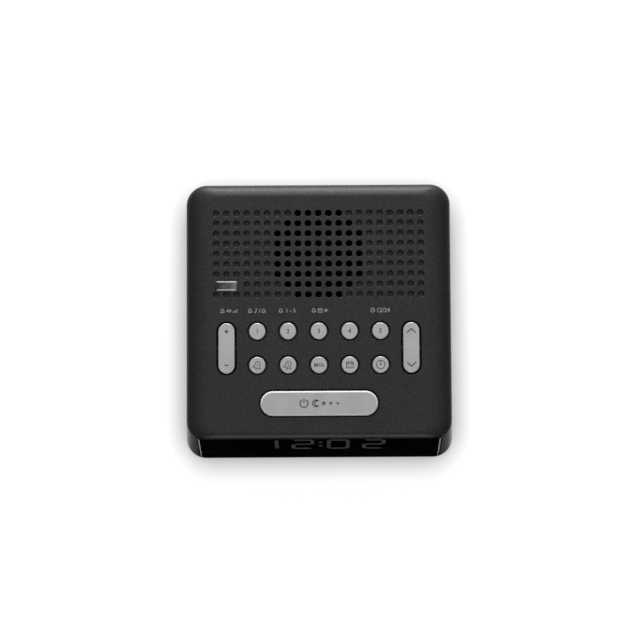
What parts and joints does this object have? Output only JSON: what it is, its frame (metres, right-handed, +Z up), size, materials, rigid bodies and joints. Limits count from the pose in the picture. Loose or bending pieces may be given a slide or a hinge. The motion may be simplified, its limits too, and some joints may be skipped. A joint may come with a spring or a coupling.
{
  "type": "alarm clock radio",
  "caption": "Square black bedside clock radio: grille and pits over a top speaker, silver round keys, two rocker keys, long snooze bar and a leaning smoked front display.",
  "frame": {"origin": "on the table under the middle of the case, at the height of the feet", "axes": "+X to the right of someone facing the display, +Y to the back, +Z up"},
  "size_m": [0.135, 0.135, 0.053],
  "materials": {
    "black_shell": "fine matt texture",
    "black_base": "matt",
    "smoked_lens": "polished smoked acrylic",
    "display_black": "matt",
    "lit_grey": "softly lit",
    "silver_paint": "satin silver paint",
    "badge_metal": "brushed, bevelled",
    "board_green": "solder mask",
    "lead_white": "flat film lead",
    "lead_black": "cable sheath",
    "dust_cloth": "woven",
    "soft_black": "matt",
    "paper_cone": "pressed paper",
    "pressed_steel": "zinc plated",
    "ferrite": "raw",
    "part_black": "moulded",
    "part_cream": "moulded",
    "spring_brass": "plated"
  },
  "bodies": {
    "case": {"amplifier_chip": "part_black", "backup_battery": "pressed_steel", "badge_plate": "badge_metal", "base_cover": "black_base", "battery_contacts": "spring_brass", "battery_cover": "black_base", "battery_cover_screw": "pressed_steel", "board_headers": "part_cream", "board_screws": "pressed_steel", "capacitors": "part_black", "case_screws": "pressed_steel", "dark_segments": "display_black", "dc_inlet": "part_black", "display_board": "board_green", "display_lens": "smoked_lens", "display_mask": "display_black", "display_ribbon": "lead_white", "foot_front_left": "soft_black", "foot_front_right": "soft_black", "foot_rear_left": "soft_black", "foot_rear_right": "soft_black", "inlet_pin": "spring_brass", "key_board": "board_green", "key_ribbon": "lead_white", "key_switches": "part_black", "lit_segments": "lit_grey", "main_board": "board_green", "processor_chip": "part_black", "radio_module": "pressed_steel", "speaker_basket": "pressed_steel", "speaker_cone": "paper_cone", "speaker_dust_cap": "paper_cone", "speaker_gasket": "soft_black", "speaker_lead": "lead_black", "speaker_magnet": "ferrite", "speaker_mesh": "dust_cloth", "speaker_surround": "soft_black", "top_housing": "black_shell"},
    "preset_key_1": {"preset_button_1": "silver_paint"},
    "preset_key_2": {"preset_button_2": "silver_paint"},
    "preset_key_3": {"preset_button_3": "silver_paint"},
    "preset_key_4": {"preset_button_4": "silver_paint"},
    "preset_key_5": {"preset_button_5": "silver_paint"},
    "alarm_key_1": {"alarm_button_1": "silver_paint"},
    "alarm_key_2": {"alarm_button_2": "silver_paint"},
    "sleep_key": {"sleep_button": "silver_paint"},
    "day_key": {"day_button": "silver_paint"},
    "clock_key": {"clock_button": "silver_paint"},
    "snooze": {"snooze_bar": "silver_paint"},
    "volume": {"volume_rocker": "silver_paint"},
    "tuning": {"tuning_rocker": "silver_paint"}
  },
  "joints": [
    {"name": "preset_button_1_press", "type": "slide", "parent": "case", "child": "preset_key_1", "axis": [0, 0, -1], "range_m": [0, 0.0006], "stiffness_N_per_m": 800},
    {"name": "preset_button_2_press", "type": "slide", "parent": "case", "child": "preset_key_2", "axis": [0, 0, -1], "range_m": [0, 0.0006], "stiffness_N_per_m": 800},
    {"name": "preset_button_3_press", "type": "slide", "parent": "case", "child": "preset_key_3", "axis": [0, 0, -1], "range_m": [0, 0.0006], "stiffness_N_per_m": 800},
    {"name": "preset_button_4_press", "type": "slide", "parent": "case", "child": "preset_key_4", "axis": [0, 0, -1], "range_m": [0, 0.0006], "stiffness_N_per_m": 800},
    {"name": "preset_button_5_press", "type": "slide", "parent": "case", "child": "preset_key_5", "axis": [0, 0, -1], "range_m": [0, 0.0006], "stiffness_N_per_m": 800},
    {"name": "alarm_button_1_press", "type": "slide", "parent": "case", "child": "alarm_key_1", "axis": [0, 0, -1], "range_m": [0, 0.0006], "stiffness_N_per_m": 800},
    {"name": "alarm_button_2_press", "type": "slide", "parent": "case", "child": "alarm_key_2", "axis": [0, 0, -1], "range_m": [0, 0.0006], "stiffness_N_per_m": 800},
    {"name": "sleep_button_press", "type": "slide", "parent": "case", "child": "sleep_key", "axis": [0, 0, -1], "range_m": [0, 0.0006], "stiffness_N_per_m": 800},
    {"name": "day_button_press", "type": "slide", "parent": "case", "child": "day_key", "axis": [0, 0, -1], "range_m": [0, 0.0006], "stiffness_N_per_m": 800},
    {"name": "clock_button_press", "type": "slide", "parent": "case", "child": "clock_key", "axis": [0, 0, -1], "range_m": [0, 0.0006], "stiffness_N_per_m": 800},
    {"name": "snooze_bar_press", "type": "slide", "parent": "case", "child": "snooze", "axis": [0, 0, -1], "range_m": [0, 0.0007], "stiffness_N_per_m": 1200},
    {"name": "volume_rocker_tilt", "type": "hinge", "parent": "case", "child": "volume", "pos_m": [-0.045, -0.01533, 0.0481], "axis": [1, 0, 0], "range_deg": [-2.5, 2.5], "stiffness_Nm_per_rad": 0.4},
    {"name": "tuning_rocker_tilt", "type": "hinge", "parent": "case", "child": "tuning", "pos_m": [0.045, -0.01533, 0.0481], "axis": [1, 0, 0], "range_deg": [-2.5, 2.5], "stiffness_Nm_per_rad": 0.4}
  ]
}
